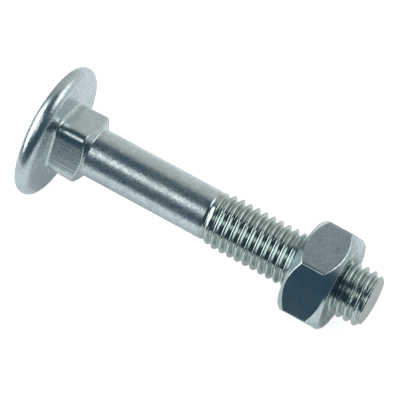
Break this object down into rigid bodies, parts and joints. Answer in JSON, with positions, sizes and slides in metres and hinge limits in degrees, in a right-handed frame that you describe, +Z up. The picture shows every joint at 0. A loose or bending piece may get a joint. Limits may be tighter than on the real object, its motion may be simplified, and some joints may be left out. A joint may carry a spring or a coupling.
{
  "type": "carriage bolt",
  "caption": "Domed-head carriage bolt with a square neck, a plain shank and a rolled thread, with a hexagon nut screwed part of the way up it.",
  "frame": {"origin": "on the table, under the middle of the lying bolt's bounding box", "axes": "+X along the bolt towards its tail, +Z up; the bolt's own axis dips 3.7 degrees below +X, because the head is wider than the nut"},
  "size_m": [0.0652, 0.024, 0.024],
  "materials": {
    "zinc_plated_steel": "bright zinc plating",
    "zinc_plated_nut": "bright zinc plating, faintly grained"
  },
  "bodies": {
    "bolt": {"bolt": "zinc_plated_steel"},
    "nut": {"hex_nut": "zinc_plated_nut"}
  },
  "joints": [
    {"name": "nut_travel", "type": "slide", "parent": "bolt", "child": "nut", "axis": [0.9979, 0, -0.065], "range_m": [-0.015, 0.015]}
  ]
}
